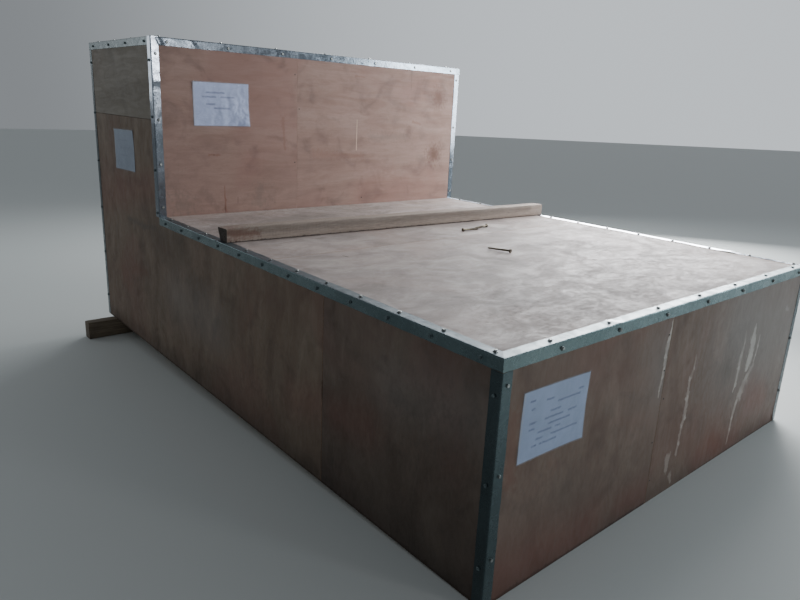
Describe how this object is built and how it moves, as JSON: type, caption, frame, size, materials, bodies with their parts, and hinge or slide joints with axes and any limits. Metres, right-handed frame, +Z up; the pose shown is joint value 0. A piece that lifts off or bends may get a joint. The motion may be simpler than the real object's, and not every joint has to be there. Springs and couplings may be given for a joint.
{
  "type": "stepped plywood shipping crate",
  "caption": "Stepped plywood crate with a low end and a tall end, galvanised steel edge angles, a loose batten on its low lid and a cross timber under its rear end.",
  "frame": {"origin": "middle of the footprint of the whole assembly, cross timber and screw heads included, on the ground that the near end's lower edge and the cross timber stand on", "axes": "+Z up; +Y along the crate from the low near end to the tall rear end; +X across the crate from its left side to its right side, seen from the near end. The crate itself leans up towards the rear by 1.87 degrees, because its rear end rests on the cross timber."},
  "size_m": [2.193, 3.2514, 1.7106],
  "materials": {
    "wall_plywood": "rotary-cut veneer, unsanded, matt",
    "lid_plywood": "rotary-cut veneer, dusty, matt",
    "deck_plywood": "rough veneer, matt",
    "frame_timber": "sawn softwood, matt",
    "batten_timber": "sawn softwood, matt",
    "prop_timber": "sawn softwood, weathered",
    "galvanised_steel": "hot-dip galvanised sheet, folded",
    "screw_steel": "zinc plated, dull",
    "zinc_steel": "yellow zinc plated",
    "paper": "office paper in a clear pouch",
    "pouch_film": "clear film",
    "label_print": "plain grey print"
  },
  "bodies": {
    "root": {"back_end_left_sheet": "wall_plywood", "back_end_right_sheet": "wall_plywood", "back_left_angle": "galvanised_steel", "back_post_left": "frame_timber", "back_post_right": "frame_timber", "back_right_angle": "galvanised_steel", "back_seam_stud": "frame_timber", "back_top_angle": "galvanised_steel", "back_top_rail": "frame_timber", "coach_screws": "zinc_steel", "deck_middle": "deck_plywood", "deck_near": "deck_plywood", "deck_rear": "deck_plywood", "left_low_rail": "frame_timber", "left_seam_stud": "frame_timber", "left_tall_rail": "frame_timber", "loose_batten": "batten_timber", "low_left_angle": "galvanised_steel", "low_lid_joist": "frame_timber", "low_lid_near_sheet": "lid_plywood", "low_lid_rear_sheet": "lid_plywood", "low_right_angle": "galvanised_steel", "near_end_left_sheet": "wall_plywood", "near_end_right_sheet": "wall_plywood", "near_left_angle": "galvanised_steel", "near_post_left": "frame_timber", "near_post_right": "frame_timber", "near_right_angle": "galvanised_steel", "near_seam_stud": "frame_timber", "near_top_angle": "galvanised_steel", "near_top_rail": "frame_timber", "paper_sheets": "paper", "rear_prop": "prop_timber", "right_low_rail": "frame_timber", "right_seam_stud": "frame_timber", "right_tall_rail": "frame_timber", "runner_left": "frame_timber", "runner_middle": "frame_timber", "runner_right": "frame_timber", "side_left_near_sheet": "wall_plywood", "side_left_step_sheet": "wall_plywood", "side_left_top_sheet": "wall_plywood", "side_right_near_sheet": "wall_plywood", "side_right_step_sheet": "wall_plywood", "side_right_top_sheet": "wall_plywood", "step_beam": "frame_timber", "step_face_left_sheet": "wall_plywood", "step_face_right_sheet": "wall_plywood", "step_left_lower_angle": "galvanised_steel", "step_left_upper_angle": "galvanised_steel", "step_post_left": "frame_timber", "step_post_right": "frame_timber", "step_right_angle": "galvanised_steel", "step_seam_stud": "frame_timber", "step_top_angle": "galvanised_steel", "step_top_rail": "frame_timber", "strip_screws": "screw_steel", "tall_left_angle": "galvanised_steel", "tall_lid_sheet": "lid_plywood", "tall_right_angle": "galvanised_steel"}
  },
  "joints": []
}
